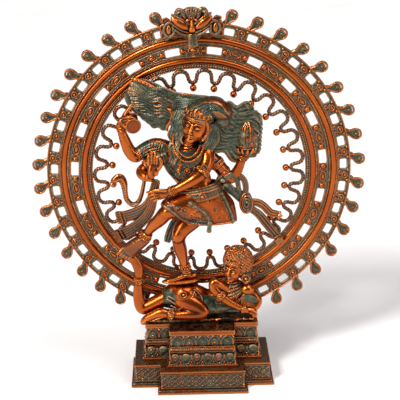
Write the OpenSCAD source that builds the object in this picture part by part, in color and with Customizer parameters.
// Dancing figure in a ring of flames: an assembly of brazed and bolted brass castings.
// Origin: middle of the footprint, on the floor. +Z up, the front faces -Y. Millimetres.

/* [Ring] */
// Height of the ring's centre above the floor
ring_z = 432; // [432:1:434]
// Distance of the ring's middle plane behind the origin
ring_y = 36; // [36:0.5:38]
// Thickness of the flat ring castings
ring_thick = 5; // [4:0.5:5]
// Radius to the middle of the outer smooth tube
outer_tube_r = 266; // [266:0.5:266.5]
// Radius to the middle of the inner smooth tube
inner_tube_r = 225.4; // [225:0.1:226]
// Outer radius of the pierced outer band
outer_band_r = 300; // [299:0.5:300]
// Inner radius of the beaded rim
rim_r = 210; // [209:0.5:211]
// Lean of the ring's pattern about its centre, in degrees, towards -X at the top
ring_lean = 2; // [0:0.5:3]
// Number of windows in the middle band
band_windows = 19; // [17:1:20]
// Number of flames on each side of the ring
flames_a_side = 16; // [12:1:16]
// Number of waves, and of balls, in the inner rope lattice
waves = 28; // [26:1:29]

/* [Base] */
// Half-width of the plinth's body
plinth_w = 136; // [134:1:138]
// Height of the plinth
plinth_h = 48; // [46:1:50]
// Height of the pedestal casting on the plinth
pedestal_h = 69; // [67:1:70]
// Thickness of the top plate
plate_h = 10; // [9:0.5:11]
// Wall of the hollow base castings
wall = 5; // [4:0.5:6]

/* [Fasteners] */
// Radius of an M6 thread
m6_r = 3; // [3:0.1:3]
// Radius of a clearance hole for M6
m6_hole_r = 3.3; // [3.2:0.1:3.5]
// Radius of an M5 thread
m5_r = 2.5; // [2.5:0.1:2.5]
// Clearance left round a thread or pin in its hole
thread_gap = 0.05; // [0.03:0.01:0.1]

/* [Quality] */
// Sides of the cast limbs and cloth
limb_sides = 10; // [8:2:14]
// Steps between two stations of a limb
limb_steps = 2; // [1:1:3]

/* [Hidden] */
$fn = 48;

copper = "#b4561c";
patina = "#4d6350";
worn = "#8a6a3c";
steel = "#8f9296";

pedestal_z = plinth_h;
plate_z = plinth_h + pedestal_h;
bed_z = plate_z + plate_h;
bed_h = 10;

// Outer tube, inner tube and the seats between the ring castings
outer_tube = 6;
outer_seat = 5;
inner_tube = 6.2;
inner_seat = 5.2;
band_out = outer_tube_r - outer_seat;
band_in = inner_tube_r + inner_seat;
window_step = 360 / band_windows;
window_l = 28;
window_w = 14.5;
window_r = 245;
stud_r = 6;
stud_seat = 6.05;
stud_angle = 4.7;
flame_first = 13.25;
flame_step = 9.09;
flame_r = 316.5;
flame_head = 12;
hidden_windows = 2;
outer_window_r = 285;
rope_r = 3.7;
rope_mid = 194.1;
rope_swing = 12.2;
rope_steps = 12;
ball_ring_r = 171.5;
ball_r = 6.6;
wave_step = 360 / waves;

bolt_x = 98;
bolt_y = [2, 40];
boss_r = 9;
boss_h = 22;
foot_screw_x = 25;
foot_pin_x = 22;
foot_pin_z = 143;
stud_x = 44;
stud_y = 10;
slot_gap = 0.1;

// Pins from cloth and hair to the ring: x, back end's y, z, front end's y
tie_r = 2.5;
ties = [[-130, ring_y - inner_tube, 616, 20.92], [-171, ring_y - 3, 303.5, 23.88],
    [160, ring_y - 3, 293, 28.3]];

// ---- Points along a cast limb: [x, y, z, half-width, half-depth] ----
function place(s) = [s[0], s[1], s[2]];
function unit(v) = v / norm(v);
function blend(a, b, c, d, t) = 0.5 * (2 * b + (c - a) * t + (2 * a - 5 * b + 4 * c - d) * t * t
    + (3 * b - a - 3 * c + d) * t * t * t);
function smooth(s, m) = concat([for (i = [0:len(s) - 2]) for (j = [0:m - 1])
    blend(s[max(i - 1, 0)], s[i], s[i + 1], s[min(i + 2, len(s) - 1)], j / m)], [s[len(s) - 1]]);
function tip(e, n, by) = let (p = place(e) + unit(place(e) - place(n)) * by * min(e[3], e[4]))
    [p[0], p[1], p[2], e[3] * 0.5, e[4] * 0.5];
function domed(s) = concat([tip(s[0], s[1], 0.7)], s, [tip(s[len(s) - 1], s[len(s) - 2], 0.7)]);
function heading(s, i) = unit(place(s[min(i + 1, len(s) - 1)]) - place(s[max(i - 1, 0)]));
function ring_of(s, i, ref, n) = let (t = heading(s, i), u = unit(cross(t, ref)), v = cross(u, t))
    [for (k = [0:n - 1]) place(s[i]) + s[i][3] * cos(360 * k / n) * u
        + s[i][4] * sin(360 * k / n) * v];

// Skin over a row of oval stations; ref is the direction that half-depth is measured along
module loft(s, ref = [0, 1, 0], n = limb_sides) {
    last = (len(s) - 1) * n;
    polyhedron(
        points = [for (i = [0:len(s) - 1]) each ring_of(s, i, ref, n)],
        faces = concat([[for (k = [n - 1:-1:0]) k]],
            [for (i = [0:len(s) - 2]) for (k = [0:n - 1])
                [i * n + k, i * n + (k + 1) % n, (i + 1) * n + (k + 1) % n, (i + 1) * n + k]],
            [[for (k = [0:n - 1]) last + k]]));
}

module limb(s, ref = [0, 1, 0], n = limb_sides) {
    loft(smooth(domed(s), limb_steps), ref, n);
}

// Joins what it holds into one closed mesh
module cast_as_one() {
    resize([0, 0, 0]) children();
}

// ---- Frames ----
module in_ring() {
    translate([0, ring_y, ring_z]) rotate([90, 0, 0]) children();
}

module at_clock(angle, r) {
    rotate([0, 0, -angle]) translate([0, r, 0]) children();
}

// Outline of the stepped base: two wings and a middle block that stands forward
module stepped(wing_w, wing_front, back, mid_w, mid_front) {
    polygon([[-wing_w, wing_front], [-mid_w, wing_front], [-mid_w, mid_front], [mid_w, mid_front],
        [mid_w, wing_front], [wing_w, wing_front], [wing_w, back], [-wing_w, back]]);
}

module slab(z, h, wing_w, wing_front, back, mid_w, mid_front) {
    translate([0, 0, z]) linear_extrude(h) stepped(wing_w, wing_front, back, mid_w, mid_front);
}

module at_base_bolts() {
    for (x = [-bolt_x, bolt_x], y = bolt_y) translate([x, y, 0]) children();
}

// ---- Base ----
module plinth() {
    color(patina) difference() {
        union() {
            slab(0, 6, plinth_w + 9, -47, 80, 91, -80);
            slab(6, plinth_h - 10, plinth_w, -38, 76, 83.4, -71);
            slab(plinth_h - 4, 4, plinth_w + 2, -40, 77.5, 85.4, -73);
        }
        slab(-1, plinth_h - wall + 1, plinth_w - wall, -38 + wall, 76 - wall, 83.4 - wall, -71 + wall);
        at_base_bolts() translate([0, 0, plinth_h - wall - 1]) cylinder(r = m6_hole_r, h = wall + 2);
    }
}

module pedestal() {
    hollow_h = pedestal_h - wall;
    color(patina) difference() {
        union() {
            difference() {
                union() {
                    slab(pedestal_z, 6, 121.4, -21, 62, 70.6, -56);
                    slab(pedestal_z + 6, 22, 118, -18, 59, 68, -53.5);
                    slab(pedestal_z + 28, 6, 110, -10, 52, 62, -47.5);
                    slab(pedestal_z + 34, 9, 113.5, -13.5, 55.5, 65.5, -51);
                    slab(pedestal_z + 43, 3, 110, -10, 52, 62, -47.5);
                    slab(pedestal_z + 46, pedestal_h - 46, 112.5, -12.5, 54.5, 64, -49.5);
                }
                slab(pedestal_z - 1, hollow_h + 1, 105, -5, 47, 57, -42.5);
            }
            at_base_bolts() translate([0, 0, pedestal_z]) cylinder(r = boss_r, h = boss_h);
        }
        at_base_bolts() translate([0, 0, pedestal_z - 1])
            cylinder(r = m6_r + thread_gap, h = boss_h - 3);
        plate_holes(pedestal_z + hollow_h - 1, wall + 2);
    }
}

// Holes for the dwarf's studs and the ring foot's screws
module plate_holes(z, h) {
    at_dwarf_studs() translate([0, 0, z]) cylinder(r = m6_hole_r, h = h);
    at_foot_screws() translate([0, 0, z]) cylinder(r = m5_r + 0.3, h = h);
}

module top_plate() {
    color(copper) difference() {
        slab(plate_z, plate_h, 114.4, -14, 56, 65.8, -51);
        plate_holes(plate_z - 1, plate_h + 2);
    }
}

module base_bolts() {
    head_z = plinth_h - wall - 1.6;
    color(steel) at_base_bolts() {
        translate([0, 0, head_z - 4]) cylinder(r = 5.8, h = 4, $fn = 6);
        translate([0, 0, head_z]) cylinder(r = m6_r, h = 1.6 + wall + 16);
    }
}

module base_washers() {
    color(steel) at_base_bolts() translate([0, 0, plinth_h - wall - 1.6]) difference() {
        cylinder(r = 8, h = 1.6);
        translate([0, 0, -1]) cylinder(r = m6_hole_r, h = 4);
    }
}

// ---- Foot that holds the ring on the top plate ----
module at_foot_screws() {
    for (x = [-foot_screw_x, foot_screw_x]) translate([x, ring_y, 0]) children();
}

module at_foot_pins() {
    for (x = [-foot_pin_x, foot_pin_x]) translate([x, ring_y, foot_pin_z])
        rotate([90, 0, 0]) children();
}

module ring_foot() {
    color(patina) difference() {
        translate([-34, ring_y - 8.5, bed_z]) cube([68, 17, 23]);
        in_ring() cylinder(r = outer_band_r + slot_gap, h = ring_thick + 2 * slot_gap,
            center = true, $fn = 128);
        at_foot_screws() translate([0, 0, bed_z - 1]) cylinder(r = m5_r + thread_gap, h = 5);
        at_foot_pins() cylinder(r = m5_r + thread_gap, h = 30, center = true);
    }
}

module ring_foot_screws() {
    under = plate_z - wall;
    color(steel) at_foot_screws() {
        translate([0, 0, under - 4]) cylinder(r = 4.6, h = 4, $fn = 6);
        translate([0, 0, under]) cylinder(r = m5_r, h = wall + plate_h + 3.5);
    }
}

module ring_foot_pins() {
    color(copper) at_foot_pins() {
        cylinder(r = m5_r, h = 17, center = true);
        translate([0, 0, 8.5]) cylinder(r = 4, h = 2);
        translate([0, 0, -10.5]) cylinder(r = 4, h = 2);
    }
}

// ---- Dwarf ----
module at_dwarf_studs() {
    for (x = [-stud_x, stud_x]) translate([x, stud_y, 0]) children();
}

module dwarf_bed() {
    color(patina) difference() {
        translate([0, 0, bed_z]) linear_extrude(bed_h)
            polygon([[-112, -8], [-60, -11], [60, -9], [110, -7], [113, 5], [110, 24], [60, 27],
                [-60, 27], [-110, 24], [-115, 5]]);
        at_dwarf_studs() translate([0, 0, bed_z - 1]) cylinder(r = m6_r + thread_gap, h = bed_h + 2);
    }
}

module dwarf_studs() {
    color(steel) at_dwarf_studs() translate([0, 0, plate_z - wall - 9])
        cylinder(r = m6_r, h = 9 + wall + plate_h + bed_h);
}

module dwarf_nuts() {
    color(steel) at_dwarf_studs() translate([0, 0, plate_z - wall - 5]) difference() {
        union() {
            cylinder(r = 5.8, h = 3.6, $fn = 6);
            translate([0, 0, 3.6]) cylinder(r = 8, h = 1.4);
        }
        translate([0, 0, -1]) cylinder(r = m6_r + thread_gap, h = 8);
    }
}

module dwarf_body_form() {
    limb([[-62, 8, 178, 22, 17], [-38, 6, 186, 30, 20], [-12, 6, 176, 26, 19],
        [14, 6, 168, 26, 18], [42, 6, 172, 28, 18], [66, 6, 184, 28, 17], [80, 8, 192, 20, 13]]);
    limb([[64, 4, 196, 10, 9], [63, 2, 214, 10, 9], [65, 0, 226, 12, 10]]);
}

module dwarf_floor() {
    translate([-200, -80, bed_z - 40]) cube([400, 160, 40 + bed_h]);
}

module dwarf_body() {
    color(copper) cast_as_one() difference() {
        dwarf_body_form();
        dwarf_floor();
        foot_plate_form(plate_seat_z, 30, 0.1);
        foot_stud_hole();
    }
}

module dwarf_head_form() {
    limb([[62, -8, 222, 13, 13], [64, -8, 234, 20, 18], [67, -7, 252, 23, 21],
        [71, -5, 268, 20, 19], [74, -4, 278, 12, 11]]);
}

module dwarf_head() {
    color(copper) cast_as_one() difference() {
        dwarf_head_form();
        dwarf_body_form();
    }
}

module dwarf_hair_form() {
    limb([[88, 2, 222, 10, 12], [92, 2, 238, 13, 17], [84, 3, 258, 24, 23],
        [76, 2, 276, 28, 25], [73, 1, 287, 16, 14]]);
}

module dwarf_hair() {
    color(patina) cast_as_one() difference() {
        dwarf_hair_form();
        dwarf_head_form();
        dwarf_body_form();
    }
}

module dwarf_arm_near_form() {
    limb([[52, -10, 196, 9, 8], [34, -17, 211, 9, 8], [25, -19, 216, 9, 8],
        [28, -21, 204, 9.5, 8.5], [39, -22, 190, 9.5, 8.5], [60, -22, 174, 8, 7.5],
        [82, -22, 161, 6.5, 6.5], [92, -20, 156, 8.5, 8], [103, -16, 152, 8, 8]]);
}

module dwarf_arm_near() {
    color(copper) cast_as_one() difference() {
        dwarf_arm_near_form();
        dwarf_body_form();
        dwarf_head_form();
    }
}

module dwarf_arm_far() {
    color(copper) cast_as_one() difference() {
        limb([[82, 4, 192, 13, 12], [98, -2, 184, 13, 12], [111, -6, 172, 10, 10],
            [106, -12, 160, 8, 8], [94, -10, 164, 7, 7]]);
        dwarf_body_form();
        dwarf_head_form();
        dwarf_hair_form();
        dwarf_arm_near_form();
    }
}

module dwarf_leg_bent() {
    color(copper) cast_as_one() difference() {
        union() {
            limb([[-40, -6, 176, 18, 14], [-20, -12, 168, 17, 13], [-2, -16, 158, 14, 12],
                [-8, -19, 150, 12, 11], [-30, -19, 149, 11, 10], [-55, -18, 148, 8.5, 8],
                [-70, -17, 150, 8, 8]]);
            limb([[-70, -17, 150, 8, 8], [-82, -16, 152, 10, 8], [-98, -15, 147, 8, 8],
                [-114, -14, 140, 6, 6], [-119, -13, 132, 5, 5]]);
        }
        dwarf_body_form();
        translate([-114.4, -60, bed_z - 40]) cube([300, 160, 40]);
        translate([-115.5, -8, bed_z - 40]) cube([300, 160, 40 + bed_h]);
    }
}

module dwarf_leg_raised_form() {
    limb([[-60, 10, 180, 17, 15], [-84, 9, 168, 15, 13], [-108, 9, 156, 13, 12],
        [-121, 9, 152, 12, 11], [-126, 9, 166, 11, 10], [-127, 10, 190, 9.5, 9],
        [-125, 11, 212, 7.5, 7], [-124, 11, 224, 8.5, 8], [-126, 11, 240, 10, 7],
        [-134, 10, 257, 9, 6], [-142, 8, 270, 6, 5]]);
}

module dwarf_leg_raised() {
    color(copper) cast_as_one() difference() {
        dwarf_leg_raised_form();
        dwarf_body_form();
        dwarf_floor();
    }
}

// ---- Standing foot on its plate ----
foot_x = -38;
foot_y = 2;
plate_seat_z = 214;

module foot_plate_form(z, h, grow = 0) {
    translate([-40, -3, z]) rotate([0, 0, 9]) linear_extrude(h)
        polygon([for (a = [0:15:345]) [(38 + grow) * cos(a), (14 + grow) * sin(a)]]);
}

module foot_plate() {
    color(copper) difference() {
        foot_plate_form(plate_seat_z, 6.6);
        foot_stud_hole();
    }
}

module foot_stud_hole() {
    translate([foot_x, foot_y, 186]) cylinder(r = m6_r + thread_gap, h = 60);
}

module foot_stud() {
    color(steel) translate([foot_x, foot_y, 190]) cylinder(r = m6_r, h = 44);
}

module leg_standing_form() {
    limb([[-4, -8, 366, 22, 19], [-18, -12, 350, 20, 17], [-34, -18, 336, 17, 15],
        [-42, -20, 322, 14, 13], [-42, -14, 300, 13, 12.5], [-37, -8, 272, 10, 9.5],
        [-33, -4, 252, 8, 8], [-28, 0, 238, 9, 9], [-25, 2, 228, 10, 10]]);
    limb([[-16, 4, 226, 8, 7], [-32, 2, 228, 9, 7.5], [-48, -2, 224, 10, 5],
        [-63, -6, 222.5, 9, 3.4]], [0, 0, 1]);
}

module leg_standing() {
    color(copper) cast_as_one() difference() {
        leg_standing_form();
        skirt_form();
        translate([-100, -60, 180]) cube([120, 120, 40.6]);
        foot_stud_hole();
    }
}

module leg_raised() {
    color(copper) cast_as_one() difference() {
        union() {
            limb([[20, -12, 380, 22, 20], [-20, -28, 386, 19, 18], [-52, -40, 384, 16, 16],
                [-66, -42, 376, 14, 14], [-80, -36, 360, 13, 13], [-96, -26, 342, 9.5, 9.5],
                [-105, -20, 328, 8, 8], [-111, -16, 316, 9, 9]]);
            limb([[-108, -15, 308, 7, 8], [-122, -12, 306, 9, 8], [-140, -8, 297, 9.5, 6],
                [-155, -4, 288, 8, 4]]);
        }
        skirt_form();
        leg_standing_form();
    }
}

// ---- Dress ----
module skirt_form() {
    loft(smooth([[-10, -16, 424, 34, 19], [-6, -14, 408, 42, 25], [2, -12, 388, 51, 29],
        [12, -10, 366, 58, 30], [22, -9, 350, 56, 27], [26, -8, 340, 50, 22]], 2), n = 14);
    loft(smooth([[8, -14, 392, 32, 25], [-20, -26, 388, 30, 24], [-48, -36, 386, 21, 20],
        [-66, -41, 388, 13, 14]], 2), n = 12);
}

module skirt() {
    color(copper) cast_as_one() difference() {
        skirt_form();
        torso_form();
        arm_across_form();
    }
}

module belt() {
    color(patina) cast_as_one() difference() {
        loft([[-4, -16, 406, 44, 28], [-4, -16, 412, 46, 30], [-4, -16, 420, 43, 27],
            [-4, -16, 424, 39, 24]], n = 16);
        skirt_form();
        torso_form();
        arm_across_form();
    }
}

module torso_form() {
    limb([[-4, -14, 402, 32, 19], [-7, -15, 424, 31, 18], [-16, -14, 448, 35, 19],
        [-28, -12, 474, 43, 20], [-30, -9, 492, 40, 17], [-27, -8, 502, 20, 12]], n = 14);
    limb([[-28, -10, 496, 11, 11], [-25, -14, 512, 10.5, 11], [-20, -18, 524, 12, 12]]);
}

module torso() {
    color(patina) cast_as_one() torso_form();
}

module necklace() {
    color(worn) cast_as_one() difference() {
        loft(smooth([[-56, -12, 520, 3, 3], [-54, -26, 498, 4, 4], [-38, -33, 480, 4, 4],
            [-20, -34, 476, 4, 4], [0, -30, 488, 4, 4], [8, -18, 508, 3, 3]], 2), n = 8);
        torso_form();
        head_form();
        hair_cap_form();
    }
}

module cloth_tail() {
    color(patina) cast_as_one() difference() {
        limb([[-36, 0, 352, 12, 4], [-52, 2, 336, 10, 4], [-60, 3, 318, 9, 3.5],
            [-65, 3, 304, 8, 3]]);
        leg_standing_form();
        skirt_form();
    }
}

// ---- Head and hair ----
module head_form() {
    limb([[-22, -26, 516, 10, 11], [-17, -26, 528, 18, 18], [-8, -24, 548, 22.5, 22],
        [0, -21, 566, 20, 20], [5, -19, 576, 12, 12]]);
}

module head() {
    color(copper) cast_as_one() difference() {
        head_form();
        torso_form();
    }
}

module crown() {
    color(worn) cast_as_one() difference() {
        loft([[-4, -24, 558, 24, 24], [0, -23, 564, 25, 25], [3, -22, 574, 22, 22],
            [6, -22, 582, 12, 16]], n = 14);
        head_form();
    }
}

module hair_cap_form() {
    limb([[10, -4, 520, 14, 16], [14, -3, 546, 24, 20], [14, -4, 572, 29, 22],
        [12, -4, 588, 24, 16], [10, -4, 597, 12, 8]], n = 12);
    limb([[-34, -2, 590, 12, 8], [-44, -4, 566, 11, 8], [-50, -6, 542, 11, 8],
        [-54, -8, 522, 9, 7]]);
    limb([[8, -2, 594, 9, 8], [-16, -1, 600, 11, 9], [-38, 0, 594, 13, 9]]);
}

module hair_cap() {
    color(patina) cast_as_one() difference() {
        hair_cap_form();
        head_form();
        torso_form();
        loft([[-4, -24, 558, 24, 24], [0, -23, 564, 25, 25], [3, -22, 574, 22, 22],
            [6, -22, 582, 12, 16]], n = 14);
    }
}

module hair_left_form() {
    limb([[-30, 2, 586, 22, 7], [-62, 8, 574, 33, 7], [-92, 13, 582, 40, 6],
        [-120, 16, 603, 31, 5], [-132, 17, 614, 18, 4]]);
}

module hair_left() {
    color(patina) cast_as_one() difference() {
        hair_left_form();
        hair_cap_form();
        arm_drum_form();
        head_form();
    }
}

module hair_right() {
    color(patina) cast_as_one() difference() {
        limb([[20, 4, 552, 34, 10], [46, 6, 534, 46, 10], [76, 9, 518, 50, 8],
            [102, 11, 514, 46, 6], [114, 12, 514, 40, 4]]);
        hair_cap_form();
        head_form();
        torso_form();
        arm_flame_form();
        flame_form();
    }
}

module crescent() {
    color(copper) cast_as_one() difference() {
        limb([[-62, -10, 538, 2.5, 3], [-59, -12, 548, 3.5, 3.5], [-52, -13, 558, 4, 4],
            [-52, -13, 567, 3.5, 3.5], [-57, -12, 573, 2.5, 2.5]]);
        hair_cap_form();
        head_form();
    }
}

// ---- Arms ----
module arm_drum_form() {
    limb([[-62, 0, 496, 13, 12], [-84, 0, 503, 13, 11], [-108, -1, 492, 12.5, 11],
        [-124, -2, 480, 12, 11], [-134, -4, 492, 11.5, 10.5], [-142, -8, 516, 10, 9.5],
        [-149, -11, 540, 7.5, 7], [-147, -13, 553, 9, 7], [-138, -14, 566, 8, 6],
        [-130, -13, 582, 4, 4]]);
}

module arm_drum() {
    color(copper) cast_as_one() difference() {
        arm_drum_form();
        torso_form();
        hair_cap_form();
        drum_form();
    }
}

// Hourglass drum with two skins
module drum_form() {
    translate([-126, -24, 549]) rotate([80, 0, 14]) {
        translate([0, 0, 2]) cylinder(r = 15.5, h = 12);
        translate([0, 0, -2]) cylinder(r = 9, h = 4);
        translate([0, 0, -14]) cylinder(r = 15.5, h = 12);
    }
}

module drum() {
    color(copper) drum_form();
}

module arm_blessing_form() {
    limb([[-60, -12, 486, 12, 11], [-84, -16, 474, 11.5, 11], [-108, -22, 462, 11, 11],
        [-116, -30, 456, 11, 11], [-108, -40, 452, 9, 9], [-97, -46, 451, 7, 7],
        [-91, -49, 458, 9, 6], [-89, -49, 473, 10, 5.5], [-86, -48, 488, 8, 4.5],
        [-83, -46, 500, 5, 3.5]]);
    limb([[-92, -48, 462, 4, 4], [-78, -50, 470, 4, 4], [-74, -50, 482, 3, 3]]);
}

module arm_blessing() {
    color(copper) cast_as_one() difference() {
        arm_blessing_form();
        torso_form();
        hair_cap_form();
        arm_drum_form();
    }
}

module arm_across_form() {
    limb([[16, -14, 484, 15, 14], [14, -24, 470, 14, 13], [2, -36, 454, 12.5, 12],
        [-14, -42, 443, 11, 11], [-34, -45, 432, 9, 9], [-52, -47, 424, 7, 7],
        [-64, -48, 420, 10, 8], [-80, -47, 418, 10, 7], [-98, -45, 418, 6, 4]]);
}

module arm_across() {
    color(copper) cast_as_one() difference() {
        arm_across_form();
        torso_form();
    }
}

module arm_flame_form() {
    limb([[20, -2, 478, 12, 11], [38, 2, 456, 12, 10], [54, 4, 434, 11, 10],
        [64, 3, 430, 10.5, 10], [72, 0, 444, 9.5, 9], [80, -3, 462, 7.5, 7.5],
        [86, -5, 478, 7, 7], [90, -7, 490, 10, 8]]);
}

module arm_flame() {
    color(copper) cast_as_one() difference() {
        arm_flame_form();
        torso_form();
        arm_across_form();
        flame_form();
    }
}

module flame_form() {
    limb([[90, -8, 494, 6, 6], [90, -8, 502, 15, 13], [91, -8, 518, 17, 13],
        [92, -7, 534, 11, 9], [94, -6, 548, 4, 4]], n = 12);
}

module flame() {
    color(copper) cast_as_one() flame_form();
}

// ---- Cobra and sashes ----
module snake() {
    color(worn) cast_as_one() difference() {
        limb([[-170, -2, 427, 4, 4], [-163, -2, 434, 6, 5], [-153, -1, 434, 7, 5],
            [-147, 0, 424, 5.5, 5], [-146, 2, 404, 5, 5], [-142, 2, 388, 5, 5],
            [-132, 0, 379, 5, 5], [-121, -3, 385, 4.5, 4.5], [-114, -8, 402, 4, 4],
            [-109, -14, 424, 3.6, 3.6], [-106, -24, 444, 3.6, 3.6]], n = 8);
        arm_blessing_form();
        arm_drum_form();
    }
}

module sash_left_form() {
    limb([[-84, -36, 440, 8, 5], [-88, -40, 424, 9, 5], [-92, -38, 408, 10, 5]]);
    limb([[-92, -38, 408, 10, 5], [-104, -26, 382, 12, 5], [-124, -8, 364, 14, 5],
        [-146, 8, 352, 13, 5], [-166, 18, 347, 13, 4]]);
    limb([[-90, -38, 408, 8, 5], [-98, -28, 376, 10, 5], [-116, -10, 346, 12, 5],
        [-140, 8, 322, 12, 5], [-170, 20, 306, 13, 4]]);
}

module sash_left() {
    color(worn) cast_as_one() difference() {
        sash_left_form();
        arm_blessing_form();
        arm_across_form();
        leg_raised_shin();
    }
}

module leg_raised_shin() {
    limb([[-80, -36, 360, 13, 13], [-96, -26, 342, 9.5, 9.5], [-105, -20, 328, 8, 8],
        [-111, -16, 316, 9, 9]]);
}

module sash_right() {
    color(patina) cast_as_one() difference() {
        union() {
            limb([[40, -6, 432, 8, 6], [54, 0, 412, 10, 6], [72, 4, 394, 9, 6],
                [86, 7, 378, 9, 5]]);
            limb([[70, 2, 436, 5, 4], [86, 0, 424, 6, 4], [89, 2, 404, 6, 4],
                [84, 5, 388, 7, 4]]);
        }
        arm_flame_form();
        skirt_form();
        torso_form();
        rosette_form();
    }
}

module sash_tails() {
    color(worn) {
        limb([[108, 10, 380, 6.5, 4.2], [116, 12, 375, 7.5, 4.2], [126, 15, 366, 8, 4.2],
            [140, 19, 350, 8, 4], [152, 23, 346, 6, 3]], n = 8);
        limb([[108, 10, 362, 6.5, 4.1], [118, 12, 350, 8, 4.1], [130, 16, 332, 9, 4.1],
            [146, 21, 310, 9, 4], [158, 25, 292, 8, 3.5]], n = 8);
    }
}

module rosette_form() {
    limb([[93, 0, 375, 11, 17], [93, 14, 375, 11, 17]], [0, 0, 1], n = 16);
}

module sash_rosette() {
    color(patina) cast_as_one() rosette_form();
}

// ---- Ring castings ----
module at_windows() {
    for (i = [0:band_windows - 1]) at_clock((i + 0.5) * window_step - ring_lean, window_r)
        children();
}

module at_studs() {
    for (i = [0:band_windows - 1], side = [-1, 1])
        at_clock((i + 0.5) * window_step + side * stud_angle - ring_lean, window_r) children();
}

// Flames follow the ring's lean at the top and stand level at its sides
function flame_angle(i, side) = let (a = side * (flame_first + i * flame_step))
    a - 1.2 * cos(a);

module at_flames(extra = 0) {
    for (i = [0:flames_a_side - 1 + extra], side = [-1, 1])
        at_clock(flame_angle(i, side), 0) mirror([side > 0 ? 0 : 1, 0, 0]) children();
}

module ring_band() {
    color(patina) in_ring() linear_extrude(ring_thick, center = true) difference() {
        circle(r = band_out, $fn = 128);
        circle(r = band_in, $fn = 128);
        at_windows() square([window_l, window_w], center = true);
        at_studs() circle(r = stud_seat);
    }
}

module ring_studs() {
    color(copper) in_ring() at_studs() sphere(r = stud_r, $fn = 24);
}

// Round tube with flats where the flat castings are brazed on
module seated_tube(r, section, seat) {
    rotate_extrude($fn = 128) translate([r, 0]) intersection() {
        circle(r = section, $fn = 32);
        square([2 * seat, 4 * section], center = true);
    }
}

module ring_outer_tube() {
    color(copper) in_ring() seated_tube(outer_tube_r, outer_tube, outer_seat);
}

module ring_inner_tube() {
    color(copper) in_ring() seated_tube(inner_tube_r, inner_tube, inner_seat);
}

module ring_outer_band() {
    color(patina) difference() {
        in_ring() linear_extrude(ring_thick, center = true) difference() {
            circle(r = outer_band_r, $fn = 128);
            circle(r = outer_tube_r + outer_seat, $fn = 128);
            at_flames(hidden_windows) translate([0, outer_window_r]) square([19, 13], center = true);
        }
        at_foot_pins() cylinder(r = m5_r + thread_gap, h = 30, center = true);
    }
}

module ring_rim() {
    color(patina) in_ring() linear_extrude(ring_thick + 1, center = true) difference() {
        circle(r = inner_tube_r - inner_seat, $fn = 128);
        circle(r = rim_r, $fn = 128);
    }
}

module ring_flames() {
    thick = ring_thick - 0.4;
    color(worn) in_ring() difference() {
        at_flames() translate([0, flame_r, 0]) union() {
            cylinder(r = flame_head, h = thick, center = true);
            linear_extrude(thick, center = true)
                polygon([[11.2, -3.6], [2, -13], [-2, -18], [-15, -18], [-9, -8], [-11.2, 3.6]]);
        }
        cylinder(r = outer_band_r, h = 2 * thick, center = true, $fn = 128);
    }
}

// Wavy rope: a closed tube that swings in and out between the rim and the balls
function lag(a) = -4.7 + 1.6 * cos(a) + 2.4 * sin(a);
function rope_point(i) = let (phase = 360 * i / rope_steps, a = wave_step * i / rope_steps,
    turn = a + lag(a) + 0.75 * sin(2 * phase) - 0.8 * sin(phase), r = rope_mid - rope_swing * cos(phase))
    [r * sin(turn), r * cos(turn), 0, rope_r, rope_r];

module ring_lattice() {
    count = waves * rope_steps;
    n = 8;
    points = [for (i = [0:count - 1]) let (t = unit(place(rope_point(i + 1))
        - place(rope_point(i - 1))), u = cross(t, [0, 0, 1]))
        for (k = [0:n - 1]) place(rope_point(i)) + rope_r * cos(360 * (k + 0.5) / n) * u
            + rope_r * sin(360 * (k + 0.5) / n) * [0, 0, 1]];
    color(worn) in_ring() polyhedron(points = points,
        faces = [for (i = [0:count - 1]) for (k = [0:n - 1]) let (j = (i + 1) % count)
            [i * n + k, i * n + (k + 1) % n, j * n + (k + 1) % n, j * n + k]]);
}

module lattice_balls() {
    color(copper) in_ring() for (i = [0:waves - 1])
        at_clock(i * wave_step + lag(i * wave_step), ball_ring_r) sphere(r = ball_r, $fn = 24);
}

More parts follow.
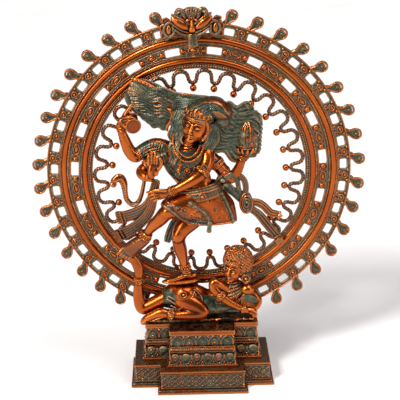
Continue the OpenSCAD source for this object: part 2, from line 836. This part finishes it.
// ---- Mask at the top ----
module in_mask() {
    translate([0, 0, ring_z]) rotate([0, -ring_lean, 0]) translate([0, 0, -ring_z]) children();
}

module mask_form() {
    in_mask() {
        limb([[0, 23, 697, 9, 4], [0, 22, 712, 22, 8], [0, 22, 724, 38, 10],
            [0, 22, 738, 38, 11], [0, 23, 750, 28, 10], [0, 24, 760, 16, 7]], n = 14);
        for (side = [-1, 1])
            limb([[side * 30, 24, 742, 8, 6], [side * 28, 24, 753, 8, 6],
                [side * 18, 24, 761, 7, 6]]);
    }
}

module behind_ring_face() {
    translate([-100, ring_y - ring_thick / 2, 600]) cube([200, 60, 200]);
    in_ring() seated_tube(outer_tube_r, outer_tube + 0.2, outer_seat + 0.2);
}

module mask() {
    color(copper) cast_as_one() difference() {
        mask_form();
        behind_ring_face();
    }
}

module mask_scrolls() {
    color(worn) cast_as_one() difference() {
        in_mask() for (side = [-1, 1])
            limb([[side * 48, 28, 700, 6, 5], [side * 52, 28, 714, 11, 7],
                [side * 50, 28, 728, 9, 6], [side * 46, 28, 738, 4, 4]]);
        mask_form();
        behind_ring_face();
    }
}

// ---- Pins that tie the hair and the sash ends to the ring ----
module tie_pins() {
    color(copper) for (p = ties) translate([p[0], p[1], p[2]]) rotate([90, 0, 0])
        cylinder(r = tie_r, h = p[1] - p[3]);
}

plinth();
pedestal();
top_plate();
base_bolts();
base_washers();
ring_foot();
ring_foot_screws();
ring_foot_pins();
dwarf_bed();
dwarf_studs();
dwarf_nuts();
dwarf_body();
dwarf_head();
dwarf_hair();
dwarf_arm_near();
dwarf_arm_far();
dwarf_leg_bent();
dwarf_leg_raised();
foot_plate();
foot_stud();
leg_standing();
leg_raised();
skirt();
belt();
torso();
necklace();
head();
crown();
hair_cap();
hair_left();
hair_right();
crescent();
arm_drum();
drum();
arm_blessing();
arm_across();
arm_flame();
flame();
snake();
sash_left();
sash_right();
sash_tails();
sash_rosette();
cloth_tail();
ring_band();
ring_outer_tube();
ring_inner_tube();
ring_outer_band();
ring_rim();
ring_flames();
ring_studs();
ring_lattice();
lattice_balls();
mask();
mask_scrolls();
tie_pins();
